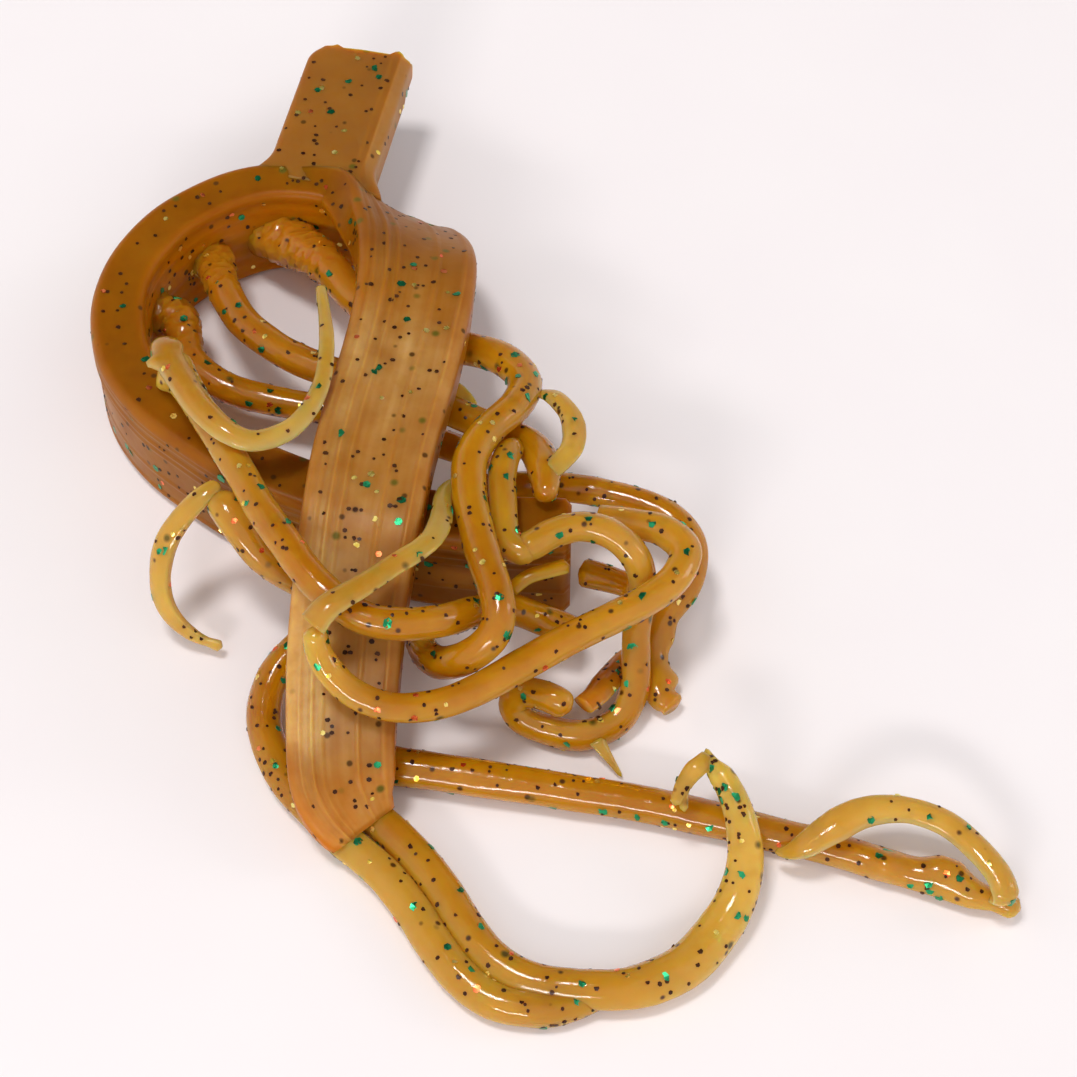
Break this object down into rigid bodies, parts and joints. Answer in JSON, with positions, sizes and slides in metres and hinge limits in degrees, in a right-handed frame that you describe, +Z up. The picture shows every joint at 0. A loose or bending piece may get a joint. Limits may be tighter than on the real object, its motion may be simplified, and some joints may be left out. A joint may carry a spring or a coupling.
{
  "type": "soft plastic worm bait",
  "caption": "Soft amber worm bait in a tangle: a ribbed band curled into a standing loop and a flat strap, with long round legs, thin pale tails and a cut moulding tab.",
  "frame": {"origin": "centre of the bait's own box in plan, at its resting plane", "axes": "+X to the right, +Y from the strap's free end towards the moulding tab, +Z up from the surface it rests on"},
  "size_m": [0.0732, 0.0932, 0.0157],
  "materials": {
    "amber_body": "satin",
    "amber_leg": "gloss",
    "pale_tail": "gloss",
    "green_glitter": "gloss",
    "copper_glitter": "gloss",
    "gold_glitter": "gloss",
    "black_glitter": "gloss"
  },
  "bodies": {
    "bait": {"band_loop": "amber_body", "band_strap": "amber_body", "crossing_leg": "amber_leg", "outer_loop_leg": "amber_leg", "big_loop_leg": "amber_leg", "s_bend_leg": "amber_leg", "inner_leg": "amber_leg", "ring_leg_upper": "amber_leg", "ring_leg_lower": "amber_leg", "arch_leg": "amber_leg", "short_leg": "amber_leg", "strap_leg": "amber_leg", "strap_leg_end": "amber_leg", "hoop_leg_root": "amber_leg", "long_leg": "amber_leg", "cut_stub": "amber_leg", "big_loop_tail": "pale_tail", "ring_leg_upper_tail": "pale_tail", "arch_tail": "pale_tail", "tucked_tail": "pale_tail", "green_flakes": "green_glitter", "copper_flakes": "copper_glitter", "gold_flakes": "gold_glitter", "black_flakes": "black_glitter"},
    "tab": {"sprue_tab": "amber_body"},
    "crossing_tail_tip": {"crossing_tail": "pale_tail"},
    "side_tail_tip": {"side_tail": "pale_tail"},
    "hoop": {"hoop_leg": "amber_leg"},
    "hoop_tip": {"hoop_tail": "pale_tail"},
    "long_end": {"long_leg_end": "amber_leg"},
    "long_tip": {"long_tail": "pale_tail"}
  },
  "joints": [
    {"name": "tab_bend", "type": "hinge", "parent": "bait", "child": "tab", "pos_m": [-0.01754, 0.03426, 0.00825], "axis": [0.9781, -0.208, 0], "range_deg": [-12, 25], "stiffness_Nm_per_rad": 0.002},
    {"name": "crossing_tail_lift", "type": "hinge", "parent": "bait", "child": "crossing_tail_tip", "pos_m": [-0.02894, 0.00726, 0.0142], "axis": [-0.9139, -0.406, 0], "range_deg": [0, 40], "stiffness_Nm_per_rad": 0.0002},
    {"name": "side_tail_swing", "type": "hinge", "parent": "bait", "child": "side_tail_tip", "pos_m": [-0.02534, -0.00464, 0.011], "axis": [0, 0, 1], "range_deg": [-20, 12], "stiffness_Nm_per_rad": 0.0002},
    {"name": "hoop_lift", "type": "hinge", "parent": "bait", "child": "hoop", "pos_m": [-0.00769, -0.03248, 0.00155], "axis": [-0.8, -0.6, 0], "range_deg": [0, 30], "stiffness_Nm_per_rad": 0.001},
    {"name": "hoop_tail_flex", "type": "hinge", "parent": "hoop", "child": "hoop_tip", "pos_m": [0.01276, -0.02713, 0.0064], "axis": [0, 0, 1], "range_deg": [-15, 15], "stiffness_Nm_per_rad": 0.0002},
    {"name": "long_end_swing", "type": "hinge", "parent": "bait", "child": "long_end", "pos_m": [0.02131, -0.03044, 0.0014], "axis": [0, 0, 1], "range_deg": [-25, 25], "stiffness_Nm_per_rad": 0.001},
    {"name": "long_tail_unfold", "type": "hinge", "parent": "long_end", "child": "long_tip", "pos_m": [0.03586, -0.03624, 0.0037], "axis": [0, 0, 1], "range_deg": [-120, 5], "stiffness_Nm_per_rad": 0.0002}
  ]
}
